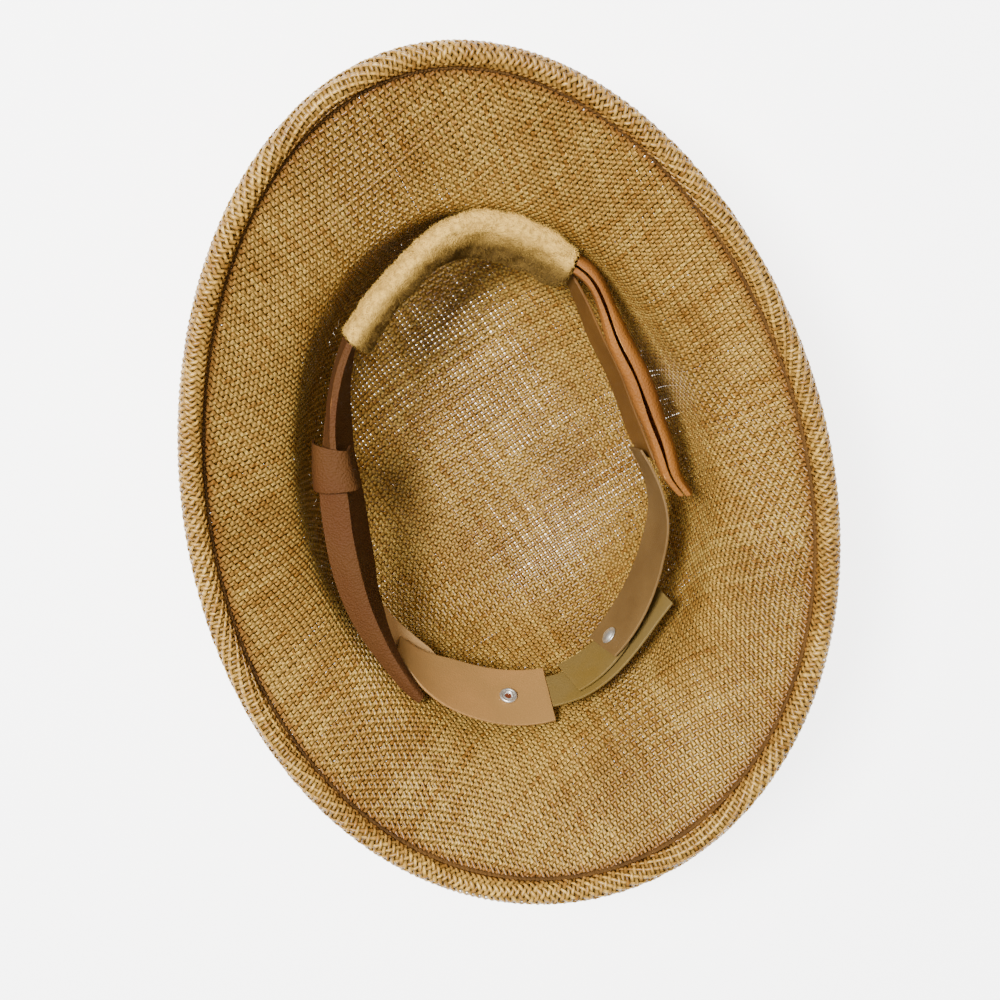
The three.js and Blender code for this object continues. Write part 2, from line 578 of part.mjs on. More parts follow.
// A snap's cap or socket, turned from a profile of radius and height shares.
const CAP_PROFILE = [[0, 0], [1, 0], [1, 0.25], [0.85, 0.65], [0.5, 0.92], [0, 1]];
const socketProfile = () => {
  const mouth = SNAP_HOLE / SNAP_DIAMETER;
  return [[0, 0], [1, 0], [1, 0.4], [0.85, 0.7], [mouth, 0.6], [mouth, 0.25], [0, 0.25]];
};
function snap(profile, strap, share) {
  const points = profile.map(([r, h]) => new THREE.Vector2((r * SNAP_DIAMETER) / 2, h * SNAP_HEIGHT));
  const { point, facing } = onStrap(strap, share);
  const geometry = new THREE.LatheGeometry(points, SNAP_SIDES);
  geometry.applyQuaternion(new THREE.Quaternion().setFromUnitVectors(new THREE.Vector3(0, 1, 0), facing));
  const seat = point.addScaledVector(facing, STRAP / 2 + SNAP_SEAT);
  return geometry.translate(seat.x, seat.y, seat.z);
}

function solidOf(geometry) {
  const bare = geometry.clone();
  bare.deleteAttribute('normal');
  bare.deleteAttribute('uv');
  const merged = mergeVertices(bare);
  const vertProperties = new Float32Array(merged.attributes.position.array);
  const triVerts = new Uint32Array(merged.index.array);
  return new wasm.Manifold(new wasm.Mesh({ numProp: 3, vertProperties, triVerts }));
}

function holed(geometry, strap, share, diameter) {
  const { point, facing } = onStrap(strap, share);
  const drill = new THREE.CylinderGeometry(diameter / 2, diameter / 2, 4 * STRAP, SNAP_SIDES);
  drill.applyQuaternion(new THREE.Quaternion().setFromUnitVectors(new THREE.Vector3(0, 1, 0), facing));
  drill.translate(point.x, point.y, point.z);
  const mesh = solidOf(geometry).subtract(solidOf(drill)).getMesh();
  const result = new THREE.BufferGeometry();
  result.setAttribute('position', new THREE.Float32BufferAttribute(mesh.vertProperties, 3));
  result.setIndex(Array.from(mesh.triVerts));
  result.computeVertexNormals();
  return result;
}

addPiece('straw_crown', strawWall(0, TURN_STEP), 'straw');
addPiece('straw_brim', strawWall(TURN_STEP, STEPS_UP), 'straw');
addPiece('rolled_edge', rolledEdge(), 'straw');
for (const [name, strap] of Object.entries(straps)) {
  const plain = sheet(strapGrid(strap.rows, strap.steps, STRAP_ACROSS, STRAP), STRAP);
  const finished = strap.hole ? holed(plain, strap, strap.hole, STRAP_HOLE) : plain;
  addPiece(name, finished, strap.material);
}
addPiece('sweatband_left', sweatbandLeft(), 'leather');
addPiece('sweatband_right', sweatbandRight(), 'leather');
addPiece('leather_keeper', keeper(), 'leather');
addPiece('brow_pad', browPad(), 'foam');
addPiece('snap_cap', snap(CAP_PROFILE, straps.snap_strap_left, SNAP_CAP_PLACE), 'steel');
addPiece('snap_socket', snap(socketProfile(), straps.snap_strap_right, SNAP_SOCKET_PLACE), 'steel');

export default hat;
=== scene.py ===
"""Looks of a woven straw pith helmet that lies on its crown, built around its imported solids.

Shapes are worked out in millimetres, in the frame of the solids, and made in metres.
The front of the hat faces -Y and the wearer's right is +X.
"""

import math

import bpy
import numpy as np
from mathutils import Matrix, Vector


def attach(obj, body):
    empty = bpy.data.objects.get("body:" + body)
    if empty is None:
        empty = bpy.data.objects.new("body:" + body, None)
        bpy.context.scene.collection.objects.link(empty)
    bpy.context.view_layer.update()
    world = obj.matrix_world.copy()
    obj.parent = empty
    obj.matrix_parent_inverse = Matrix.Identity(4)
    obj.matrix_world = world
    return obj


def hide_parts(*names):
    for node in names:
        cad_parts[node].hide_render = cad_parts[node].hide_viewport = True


bl_info = {
    "name": "Pith helmet",
    "version": (1, 0, 0),
    "blender": (4, 5, 0),
    "location": "3D View > Sidebar > Hat",
    "description": "Weaves and dresses a straw pith helmet with its headband",
    "category": "Object",
}

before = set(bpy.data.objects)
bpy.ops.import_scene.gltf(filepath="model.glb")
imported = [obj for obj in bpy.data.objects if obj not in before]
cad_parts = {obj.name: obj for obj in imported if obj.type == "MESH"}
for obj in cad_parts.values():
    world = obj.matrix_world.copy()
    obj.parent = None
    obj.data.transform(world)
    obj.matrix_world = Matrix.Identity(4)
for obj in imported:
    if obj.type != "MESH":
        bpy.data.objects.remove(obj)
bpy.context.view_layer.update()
MM = 0.001

# The form of the hat, in millimetres
HAT_LENGTH = 353.0
HAT_WIDTH = 263.0
HAT_HEIGHT = 146.0
RIM_EGG = 0.08
SIDE_DROP = 14.0
ROLL_RADIUS = 5.0
CROWN_DEPTH = 90.0
CROWN_EGG = 0.06
CROWN_SIDE = 88.0
CROWN_FRONT = 112.5
CROWN_BACK = 118.0
HALF_WALL = 1.0

# Sections of the wall from the crown's flat top to the rim, as in the solids
SECTIONS = [
    {"reach": 0.28, "low": 0.0, "out": 0.0, "rise": 0.0},
    {"reach": 0.47, "low": 0.025, "out": 0.0, "rise": 0.0},
    {"reach": 0.65, "low": 0.095, "out": 0.0, "rise": 0.0},
    {"reach": 0.8, "low": 0.23, "out": 0.0, "rise": 0.0},
    {"reach": 0.9, "low": 0.44, "out": 0.0, "rise": 0.0},
    {"reach": 0.952, "low": 0.66, "out": 0.0, "rise": 0.0},
    {"reach": 0.975, "low": 0.84, "out": 0.0, "rise": 0.0},
    {"reach": 1.0, "low": 1.0, "out": 0.0, "rise": 0.0},
    {"reach": 1.0, "low": 1.0, "out": 0.09, "rise": 0.22},
    {"reach": 1.0, "low": 1.0, "out": 0.33, "rise": 0.48},
    {"reach": 1.0, "low": 1.0, "out": 0.66, "rise": 0.74},
    {"reach": 1.0, "low": 1.0, "out": 1.0, "rise": 1.0},
]


def column(rows, name, share):
    """A column's value at a share of the way down a table, on a smooth curve through its rows."""
    values = np.array([row[name] for row in rows])
    at = np.clip(share, 0, 1) * (len(rows) - 1)
    first = np.minimum(np.floor(at).astype(int), len(rows) - 2)
    a, b, c, d = (values[np.clip(first + step, 0, len(rows) - 1)] for step in (-1, 0, 1, 2))
    t = at - first
    slope_in = (c - a) / 2
    slope_out = (d - b) / 2
    square = 3 * (c - b) - 2 * slope_in - slope_out
    cube = 2 * (b - c) + slope_in + slope_out
    return b + t * (slope_in + t * (square + t * cube))


def oval(half_width, front, back, egg, turn):
    """Plan of an egg-shaped oval at each turn, 0 in front and growing towards +X."""
    x = half_width * np.sin(turn) * (1 - egg * np.cos(turn))
    y = (back - front) / 2 - (front + back) / 2 * np.cos(turn)
    return x, y


def crown_oval(turn):
    """Plan of the crown at the turn where the brim begins."""
    return oval(CROWN_SIDE, CROWN_FRONT, CROWN_BACK, CROWN_EGG, turn)


def rim_centre(turn):
    """Centre line of the rolled edge."""
    half_length = HAT_LENGTH / 2 - ROLL_RADIUS
    x, y = oval(HAT_WIDTH / 2 - ROLL_RADIUS, half_length, half_length, RIM_EGG, turn)
    z = HAT_HEIGHT - ROLL_RADIUS - SIDE_DROP * np.sin(turn) ** 2
    return np.stack([x, y, z], axis=-1)


def wall_middle(turn, share):
    """Middle of the straw wall. share is 0 at the crown's flat top and 1 at the rim."""
    x, y = crown_oval(turn)
    reach = column(SECTIONS, "reach", share)
    low = column(SECTIONS, "low", share)
    out = column(SECTIONS, "out", share)
    rise = column(SECTIONS, "rise", share)
    rim = rim_centre(turn)
    z = HALF_WALL + (CROWN_DEPTH - HALF_WALL) * low
    start = np.stack([x * reach, y * reach, z], axis=-1)
    mix = np.stack([out, out, rise], axis=-1)
    return start + (rim - start) * mix


def unit(vectors):
    """Vectors at length one."""
    return vectors / np.maximum(np.linalg.norm(vectors, axis=-1, keepdims=True), 1e-9)


# Cloth of straw: how finely it is worked out, and how it meets the rolled edge, in millimetres and degrees
BEARINGS = 720
TURNS = 2881
FLAT_STEPS = 24
WALL_STEPS = 260
BODY_STEPS = 300
INWARD_STEP = 12
RADIUS_STEP = 0.8
EVENNESS = 0.6
ROLL_START = 9.0
INNER_END = 4.4
ROLL_ANGLES = np.arange(60, 325, 8)
ROLL_SKIN = 1.05
TUCK_IN = 4.6
TUCK_UNDER = 1.0

# Dents of the moulded cloth, which fade out towards the crown's flat top and the rim
DENT = {"depth": 0.9, "length": 95, "seed": 5, "start": 12, "rim": 40, "fade": 30}


def waves(points, seed, length, terms=7):
    """A smooth random height between about -1 and 1 over points in millimetres."""
    random = np.random.default_rng(seed)
    total = np.zeros(points.shape[:-1])
    for _ in range(terms):
        direction = unit(random.normal(size=3))
        scale = length * random.uniform(0.7, 1.5)
        total += np.sin(points @ direction * (2 * math.pi / scale) + random.uniform(0, 2 * math.pi))
    return total / math.sqrt(terms)


class Cloth:
    """The moulded straw cloth as a map from flat cloth to the hat.

    A place on the flat cloth is given by its distance from the middle of the crown and its bearing.
    EVENNESS is 0 where distances along the bearing are kept, and 1 where areas are kept."""

    def __init__(self, rolled):
        dense = np.linspace(0, 2 * math.pi, TURNS)
        x, y = crown_oval(dense)
        bearing = np.unwrap(np.arctan2(x, -y))
        self.bearings = np.arange(BEARINGS) * (2 * math.pi / BEARINGS)
        turn = np.interp(self.bearings, bearing, dense)[:, None]
        self.path = self.meridians(turn, rolled)
        self.spread()

    def meridians(self, turn, rolled):
        """Points from the crown's middle outwards, one row to a bearing."""
        grid = (BEARINGS, WALL_STEPS)
        share = np.linspace(0, 1, WALL_STEPS)[None, :]
        wall = wall_middle(np.broadcast_to(turn, grid), np.broadcast_to(share, grid))
        first = wall[:, :1]
        inside = np.linspace(0, 1, FLAT_STEPS + 1)[None, :-1, None]
        height = np.broadcast_to(first[..., 2:], (BEARINGS, FLAT_STEPS, 1))
        flat = np.concatenate([first[..., :2] * inside, height], axis=-1)
        centre = rim_centre(turn)
        along_rim = unit(np.roll(centre, -1, axis=0) - np.roll(centre, 1, axis=0))
        inward = wall[:, -INWARD_STEP : 1 - INWARD_STEP] - centre
        inward = unit(inward - np.sum(inward * along_rim, axis=-1, keepdims=True) * along_rim)
        under = np.cross(along_rim, inward)
        under = under * -np.sign(under[..., 2:])
        path = np.concatenate([flat, wall], axis=1)
        distance = np.linalg.norm(path - centre, axis=-1)
        stop = ROLL_START if rolled else INNER_END
        last = np.argmax(distance < stop, axis=1)
        body = np.empty((BEARINGS, BODY_STEPS, 3))
        for k in range(BEARINGS):
            kept = path[k, : last[k]]
            end = centre[k, 0] + inward[k, 0] * stop
            kept = np.concatenate([kept, end[None]])
            length = np.concatenate([[0], np.cumsum(np.linalg.norm(np.diff(kept, axis=0), axis=1))])
            even = np.linspace(0, length[-1], BODY_STEPS)
            body[k] = np.stack([np.interp(even, length, kept[:, axis]) for axis in range(3)], axis=-1)
        if not rolled:
            return body
        angle = np.radians(ROLL_ANGLES)[None, :, None]
        middle_radius = ROLL_RADIUS - ROLL_SKIN
        roll = centre + middle_radius * (np.cos(angle) * inward + np.sin(angle) * under)
        tuck = centre + TUCK_IN * inward - TUCK_UNDER * under
        return np.concatenate([body, roll, tuck], axis=1)

    def spread(self):
        """Works out where each point lies on the flat cloth, and tables of places and normals by it."""
        path = self.path
        step = np.linalg.norm(np.diff(path, axis=1), axis=-1)
        tangent = unit(np.gradient(path, axis=1))
        around = (np.roll(path, -1, axis=0) - np.roll(path, 1, axis=0)) / (4 * math.pi / BEARINGS)
        around -= np.sum(around * tangent, axis=-1, keepdims=True) * tangent
        girth = np.linalg.norm(around, axis=-1)
        radius = np.zeros(path.shape[:2])
        for m in range(path.shape[1] - 1):
            ease = 1.0 if m == 0 else (girth[:, m] / radius[:, m]) ** EVENNESS
            radius[:, m + 1] = radius[:, m] + step[:, m] * ease
        self.edge = radius[:, -1]
        count = int(self.edge.max() / RADIUS_STEP) + 2
        even = np.arange(count) * RADIUS_STEP
        self.place = np.empty((BEARINGS, count, 3))
        for k in range(BEARINGS):
            for axis in range(3):
                self.place[k, :, axis] = np.interp(even, radius[k], path[k, :, axis])
        across = np.roll(self.place, -1, axis=0) - np.roll(self.place, 1, axis=0)
        outward = np.gradient(self.place, axis=1)
        flat = np.linalg.norm(outward, axis=-1) < 1e-6
        normal = unit(np.cross(across, outward))
        normal[:, :2] = (0, 0, -1)
        normal[flat] = 0
        for m in range(2, count):
            missing = flat[:, m]
            normal[missing, m] = normal[missing, m - 1]
        self.normal = normal
        dent = waves(self.place, DENT["seed"], DENT["length"]) * DENT["depth"]
        from_top = np.clip((self.place[..., 2] - DENT["start"]) / DENT["fade"], 0, 1)
        from_rim = np.clip((self.edge[:, None] - DENT["rim"] - even) / DENT["fade"], 0, 1)
        self.place = self.place + self.normal * (dent * (from_top * from_rim))[..., None]

    def between(self, p, q):
        """The two bearings that a point of the flat cloth lies between, and its share of the way."""
        at = np.mod(np.arctan2(p, -q), 2 * math.pi) / (2 * math.pi) * BEARINGS
        k = np.floor(at).astype(int)
        return k % BEARINGS, (k + 1) % BEARINGS, at - k

    def look_up(self, p, q):
        """Places and normals for points of the flat cloth."""
        radius = np.hypot(p, q)
        k, after, s = self.between(p, q)
        s = s[..., None]
        along = np.clip(radius / RADIUS_STEP, 0, self.place.shape[1] - 1.001)
        m = np.floor(along).astype(int)
        t = (along - m)[..., None]
        out = []
        for table in (self.place, self.normal):
            near = table[k, m] * (1 - t) + table[k, m + 1] * t
            far = table[after, m] * (1 - t) + table[after, m + 1] * t
            out.append(near * (1 - s) + far * s)
        return out[0], unit(out[1])

    def beyond(self, p, q):
        """How far a point of the flat cloth lies outside its edge."""
        k, after, s = self.between(p, q)
        edge = self.edge[k] * (1 - s) + self.edge[after] * s
        return np.hypot(p, q) - edge


# The groove inside the rolled edge lies GROOVE_PLACE millimetres from the edge's centre line, towards the
# wall's point at GROOVE_SHARE. Painted shade lies along it: it starts at GROOVE_DEPTH and falls by one each
# GROOVE_REACH.
GROOVE_SHARE = 0.93
GROOVE_PLACE = 5.3
GROOVE_REACH = 4.6
GROOVE_DEPTH = 1.25

# How far beyond the roll's radius a place still counts as on the roll, in millimetres
ROLL_MARGIN = 2.2


def rim_lines():
    """The rolled edge's centre line and the groove inside it, each with its bearings."""
    turn = np.linspace(0, 2 * math.pi, 1440, endpoint=False)
    centre = rim_centre(turn)
    wall = wall_middle(turn, np.full(turn.size, GROOVE_SHARE))
    groove = centre + GROOVE_PLACE * unit(wall - centre)
    return {"centre": centre, "groove": groove}


def distance_to_line(places, line):
    """Distance of each place from the point of a closed line on the same bearing."""
    bearing = np.unwrap(np.arctan2(line[:, 0], -line[:, 1]))
    at = np.mod(np.arctan2(places[:, 0], -places[:, 1]), 2 * math.pi)
    near = np.stack([np.interp(at, bearing, line[:, axis], period=2 * math.pi) for axis in range(3)], axis=-1)
    return np.linalg.norm(places - near, axis=-1)


def roll_tests():
    """A test for places on the rolled edge, and one for places off it."""
    centre = rim_lines()["centre"]

    def on_roll(places):
        return distance_to_line(places, centre) < ROLL_RADIUS + ROLL_MARGIN

    def off_roll(places):
        return ~on_roll(places)

    return on_roll, off_roll


# Strands: thickness and weaving height, and where the outer layer closes, in millimetres
STRAND_THICKNESS = 0.54
STRAND_LIFT = 0.22
CLOSING_START = 74.0
CLOSING_LENGTH = 14.0

# Layers of weave: place over the wall's middle, turn of the grid, its shift in strands, how much wider its
# strands are, how much more they widen towards the brim, its uneven pull and its overlap onto the roll
OUTER_LAYER = {
    "height": 0.5,
    "turn": math.radians(20.7),
    "shift": 0.1,
    "broad": 1.14,
    "closing": 0.4,
    "pull": 0.35,
    "overlap": 1,
}
INNER_LAYER = {
    "height": -0.5,
    "turn": math.radians(20.5),
    "shift": 0.0,
    "broad": 1.08,
    "closing": 0.0,
    "pull": -0.3,
    "overlap": 0,
}
ROLL_LAYER = {**OUTER_LAYER, "broad": 1.0, "closing": 0.06, "overlap": 0}

# How uneven the strands are, as shares of the pitch, width or thickness
DRIFT = 0.05
WANDER = 0.05
WIDTH_RANGE = (0.86, 1.08)
WIDTH_NOISE = 0.1
THICKNESS_RANGE = (0.85, 1.1)
STRAND_TINT = 0.55


def pulled(p, q, amount):
    """Points of the flat cloth as uneven weaving pulls them about, by up to amount in millimetres."""
    return p + amount * np.sin(q / 21 + amount), q + amount * np.sin(p / 26 + 2 * amount)


def grid_line(cloth, layer, u, v):
    """The part of one line of the flat grid that lies on the cloth, ended at the cloth's edge.

    Gives its points and, for each, how many strands along the line it lies, or None off the cloth."""
    cos, sin = math.cos(layer["turn"]), math.sin(layer["turn"])
    outside = cloth.beyond(u * cos - v * sin, u * sin + v * cos)
    kept = np.flatnonzero(outside < 0)
    if kept.size < 2:
        return None
    lo, hi = kept[0], kept[-1]
    begin = lo - outside[lo] / (outside[lo] - outside[lo - 1])
    finish = hi + outside[hi] / (outside[hi] - outside[hi + 1])
    at = np.concatenate([[begin], np.arange(lo, hi + 1), [finish]])
    return np.interp(at, np.arange(u.size), u), np.interp(at, np.arange(v.size), v), at


def spans_within(within, place, more):
    """Runs of a strand's points that lie within the wanted part of the cloth, and more points each way."""
    if within is None:
        return [(0, len(place))]
    chosen = within(place)
    edges = np.flatnonzero(np.diff(np.concatenate([[0], chosen.astype(int), [0]])))
    spans = [(max(a - more, 0), min(b + more, len(place))) for a, b in zip(edges[::2], edges[1::2])]
    return [(a, b) for a, b in spans if b - a > 1]


def strands(cloth, settings, family, layer, seed, within=None):
    """One family of strands of a layer: rings of four corners, and how they join.

    family 0 runs across the hat and family 1 along it. within keeps only part of the cloth, by a test on
    the place."""
    random = np.random.default_rng(seed)
    pitch = settings["pitch"]
    reach = int(cloth.edge.max() / pitch) + 2
    cos, sin = math.cos(layer["turn"]), math.sin(layer["turn"])
    rings, links, tints, lifts = [], [], [], []
    total = 0
    for j in range(-reach, reach + 1):
        across = (j + layer["shift"] + random.normal(0, DRIFT)) * pitch
        i = np.arange(-reach, reach + 1)
        along = (i + layer["shift"]) * pitch
        wander = WANDER * pitch * np.sin(along / random.uniform(18, 40) + random.uniform(0, 6.3))
        u = along if family == 0 else across + wander
        v = across + wander if family == 0 else along
        line = grid_line(cloth, layer, *np.broadcast_arrays(u, v))
        if line is None:
            continue
        u, v, at = line
        rise = np.where((np.round(at).astype(int) + j + family) % 2 == 0, 1.0, -1.0)
        rise[0] = rise[-1] = 0
        p, q = pulled(u * cos - v * sin, u * sin + v * cos, layer["pull"])
        place, normal = cloth.look_up(p, q)
        du, dv = (0, -np.sign(v) * pitch) if family == 0 else (-np.sign(u) * pitch, 0)
        beside, _ = cloth.look_up(p + du * cos - dv * sin, q + du * sin + dv * cos)
        tangent = unit(np.gradient(place, axis=0))
        aside = beside - place
        aside -= np.sum(aside * tangent, axis=-1, keepdims=True) * tangent
        room = np.linalg.norm(aside, axis=-1)
        side = unit(np.cross(tangent, normal))
        width = settings["width"] * random.uniform(*WIDTH_RANGE)
        width = width * (1 + WIDTH_NOISE * random.normal(size=at.size).clip(-1.5, 1.5))
        closing = np.clip((place[:, 2] - CLOSING_START) / CLOSING_LENGTH, 0, 1)
        closed = layer["broad"] + layer["closing"] * closing
        half = side * np.minimum(width * closed / 2, room / 2)[:, None]
        thick = normal * STRAND_THICKNESS / 2 * random.uniform(*THICKNESS_RANGE)
        middle = place + normal * (layer["height"] + rise * STRAND_LIFT)[:, None]
        ring = np.stack([middle + half, middle + thick, middle - half, middle - thick], axis=1)
        shade = random.uniform(0, 1) * STRAND_TINT + (1 - STRAND_TINT) * random.uniform(0, 1, size=at.size)
        for a, b in spans_within(within, place, layer["overlap"]):
            count = b - a
            rings.append(ring[a:b])
            links.append((total, count))
            tints.append(np.repeat(shade[a:b], 4))
            lifts.append(np.repeat(rise[a:b] * 0.5 + 0.5, 4))
            total += count
    return np.concatenate(rings).reshape(-1, 3), links, np.concatenate(tints), np.concatenate(lifts)


def strand_faces(links):
    """Quads along each strand and over its ends."""
    faces = []
    for first, count in links:
        ring = (first + np.arange(count - 1)) * 4
        for corner in range(4):
            after = (corner + 1) % 4
            faces.append(np.stack([ring + corner, ring + 4 + corner, ring + 4 + after, ring + after], axis=1))
        start, end = first * 4, (first + count - 1) * 4
        faces.append(np.array([[start, start + 1, start + 2, start + 3], [end + 3, end + 2, end + 1, end]]))
    return np.concatenate(faces)


def mesh_object(name, points, faces, attributes=()):
    """An object from points in millimetres and quads, with a number for each point in every attribute."""
    mesh = bpy.data.meshes.new(name)
    mesh.vertices.add(len(points))
    mesh.vertices.foreach_set("co", (np.asarray(points) * MM).astype(np.float32).ravel())
    mesh.loops.add(faces.size)
    mesh.loops.foreach_set("vertex_index", faces.astype(np.int32).ravel())
    mesh.polygons.add(len(faces))
    mesh.polygons.foreach_set("loop_start", np.arange(len(faces), dtype=np.int32) * faces.shape[1])
    mesh.update(calc_edges=True)
    for label, values in attributes:
        attribute = mesh.attributes.new(label, "FLOAT", "POINT")
        attribute.data.foreach_set("value", values.astype(np.float32))
    mesh.shade_smooth()
    piece = bpy.data.objects.new(name, mesh)
    bpy.context.scene.collection.objects.link(piece)
    return piece


def tube(name, centres, radii, sides):
    """A closed ring of tube around a closed line of centres, with one radius to each centre."""
    along = unit(np.roll(centres, -1, axis=0) - np.roll(centres, 1, axis=0))
    up = np.broadcast_to([0.0, 0.0, 1.0], centres.shape)
    out = unit(np.cross(along, up))
    up = unit(np.cross(out, along))
    angle = np.arange(sides) * (2 * math.pi / sides)
    spokes = np.cos(angle)[None, :, None] * out[:, None] + np.sin(angle)[None, :, None] * up[:, None]
    points = centres[:, None] + spokes * radii[:, None, None]
    count = len(centres)
    i, k = np.meshgrid(np.arange(count), np.arange(sides), indexing="ij")
    after, beside = (i + 1) % count, (k + 1) % sides
    quads = np.stack([i * sides + k, i * sides + beside, after * sides + beside, after * sides + k], axis=-1)
    return mesh_object(name, points.reshape(-1, 3), quads.reshape(-1, 4))


def colour(red, green, blue):
    """A colour from 0 to 255 as the eye sees it, in the renderer's linear values."""
    channels = [value / 255 for value in (red, green, blue)]
    linear = [c / 12.92 if c <= 0.04045 else ((c + 0.055) / 1.055) ** 2.4 for c in channels]
    return (*linear, 1.0)


def group_tree(name, inputs, outputs):
    """An empty shader group with named sockets, and its input and output nodes."""
    tree = bpy.data.node_groups.new(name, "ShaderNodeTree")
    for label, kind, default in inputs:
        socket = tree.interface.new_socket(label, in_out="INPUT", socket_type=kind)
        socket.default_value = default
    for label, kind in outputs:
        tree.interface.new_socket(label, in_out="OUTPUT", socket_type=kind)
    return tree, tree.nodes.new("NodeGroupInput"), tree.nodes.new("NodeGroupOutput")


def blotches_group():
    """Two colours mixed in soft blotches over the object."""
    inputs = [
        ("Base", "NodeSocketColor", (0.5, 0.5, 0.5, 1)),
        ("Stain", "NodeSocketColor", (0.2, 0.2, 0.2, 1)),
        ("Scale", "NodeSocketFloat", 20.0),
        ("Amount", "NodeSocketFloat", 0.4),
    ]
    outputs = [("Colour", "NodeSocketColor"), ("Mask", "NodeSocketFloat")]
    tree, given, result = group_tree("Blotches", inputs, outputs)
    place = tree.nodes.new("ShaderNodeTexCoord")
    noise = tree.nodes.new("ShaderNodeTexNoise")
    noise.inputs["Detail"].default_value = 5
    noise.inputs["Roughness"].default_value = 0.6
    ramp = tree.nodes.new("ShaderNodeMapRange")
    ramp.inputs["From Min"].default_value = 0.42
    ramp.inputs["From Max"].default_value = 0.66
    scaled = tree.nodes.new("ShaderNodeMath")
    scaled.operation = "MULTIPLY"
    mix = tree.nodes.new("ShaderNodeMix")
    mix.data_type = "RGBA"
    link = tree.links.new
    link(place.outputs["Object"], noise.inputs["Vector"])
    link(given.outputs["Scale"], noise.inputs["Scale"])
    link(noise.outputs["Fac"], ramp.inputs["Value"])
    link(ramp.outputs["Result"], scaled.inputs[0])
    link(given.outputs["Amount"], scaled.inputs[1])
    link(scaled.outputs[0], mix.inputs["Factor"])
    link(given.outputs["Base"], mix.inputs["A"])
    link(given.outputs["Stain"], mix.inputs["B"])
    link(mix.outputs["Result"], result.inputs["Colour"])
    link(scaled.outputs[0], result.inputs["Mask"])
    return tree


def grain_group():
    """A fine height for a Bump node: pores and creases over the object."""
    inputs = [
        ("Fine", "NodeSocketFloat", 900.0),
        ("Coarse", "NodeSocketFloat", 120.0),
        ("Creases", "NodeSocketFloat", 0.4),
    ]
    tree, given, result = group_tree("Grain", inputs, [("Height", "NodeSocketFloat")])
    place = tree.nodes.new("ShaderNodeTexCoord")
    pores = tree.nodes.new("ShaderNodeTexVoronoi")
    creases = tree.nodes.new("ShaderNodeTexNoise")
    creases.inputs["Detail"].default_value = 6
    scaled = tree.nodes.new("ShaderNodeMath")
    scaled.operation = "MULTIPLY"
    total = tree.nodes.new("ShaderNodeMath")
    total.operation = "ADD"
    link = tree.links.new
    link(place.outputs["Object"], pores.inputs["Vector"])
    link(place.outputs["Object"], creases.inputs["Vector"])
    link(given.outputs["Fine"], pores.inputs["Scale"])
    link(given.outputs["Coarse"], creases.inputs["Scale"])
    link(creases.outputs["Fac"], scaled.inputs[0])
    link(given.outputs["Creases"], scaled.inputs[1])
    link(pores.outputs["Distance"], total.inputs[0])
    link(scaled.outputs[0], total.inputs[1])
    link(total.outputs[0], result.inputs["Height"])
    return tree


def shared_group(name):
    """A shader group by name, built on first use."""
    makers = {"Blotches": blotches_group, "Grain": grain_group}
    return bpy.data.node_groups.get(name) or makers[name]()


def new_material(name, roughness, metallic=0.0):
    """A material, with its node tree and its shader."""
    material = bpy.data.materials.new(name)
    material.use_nodes = True
    shader = material.node_tree.nodes["Principled BSDF"]
    shader.inputs["Roughness"].default_value = roughness
    shader.inputs["Metallic"].default_value = metallic
    return material, material.node_tree, shader


def placed_group(tree, name, **values):
    """A shared group placed in a material, with its own values."""
    node = tree.nodes.new("ShaderNodeGroup")
    node.node_tree = shared_group(name)
    for label, value in values.items():
        node.inputs[label].default_value = value
    return node


STRAW_STAIN = colour(140, 86, 24)
# The rolled edge's straw: a darker copy of the woven straw, painted shade to hold down the extra light that
# the roll catches
ROLL_SHADED_LIGHT = colour(220, 176, 86)
ROLL_SHADED_DARK = colour(142, 96, 34)
ROLL_SHADED_STAIN = colour(120, 74, 24)
# Colour of the painted shade in the groove inside the rolled edge
GROOVE_SHADE_COLOUR = colour(112, 70, 28)
# Strength of the painted shade where a strand dives under the next: the share of its colour kept at the
# lowest point
VALLEY_SHADE = 0.16


def straw_material(name, light, dark, stain):
    """Straw: each strand its own tint, with painted shade where it dives under the next and painted shade in
    the groove.
    """
    material, tree, shader = new_material(name, 0.36)
    tint = tree.nodes.new("ShaderNodeAttribute")
    tint.attribute_name = "tint"
    lift = tree.nodes.new("ShaderNodeAttribute")
    lift.attribute_name = "lift"
    strand = tree.nodes.new("ShaderNodeMix")
    strand.data_type = "RGBA"
    strand.inputs["A"].default_value = dark
    strand.inputs["B"].default_value = light
    blotches = placed_group(tree, "Blotches", Stain=stain, Scale=24.0, Amount=0.45)
    # Painted shade: the lift attribute darkens each strand where it dives under its neighbour
    valley_shade = tree.nodes.new("ShaderNodeMapRange")
    valley_shade.inputs["To Min"].default_value = VALLEY_SHADE
    shaded = tree.nodes.new("ShaderNodeMix")
    shaded.data_type = "RGBA"
    shaded.blend_type = "MULTIPLY"
    shaded.inputs["Factor"].default_value = 1.0
    shader.inputs["Specular IOR Level"].default_value = 0.34
    # Painted shade: the groove attribute turns the colour towards the groove's shade colour along the groove
    # inside the rolled edge
    groove = tree.nodes.new("ShaderNodeAttribute")
    groove.attribute_name = "groove"
    sunk = tree.nodes.new("ShaderNodeMix")
    sunk.data_type = "RGBA"
    sunk.inputs["B"].default_value = GROOVE_SHADE_COLOUR
    link = tree.links.new
    link(tint.outputs["Fac"], strand.inputs["Factor"])
    link(strand.outputs["Result"], blotches.inputs["Base"])
    link(lift.outputs["Fac"], valley_shade.inputs["Value"])
    link(blotches.outputs["Colour"], shaded.inputs["A"])
    link(valley_shade.outputs["Result"], shaded.inputs["B"])
    link(groove.outputs["Fac"], sunk.inputs["Factor"])
    link(shaded.outputs["Result"], sunk.inputs["A"])
    link(sunk.outputs["Result"], shader.inputs["Base Color"])
    return material


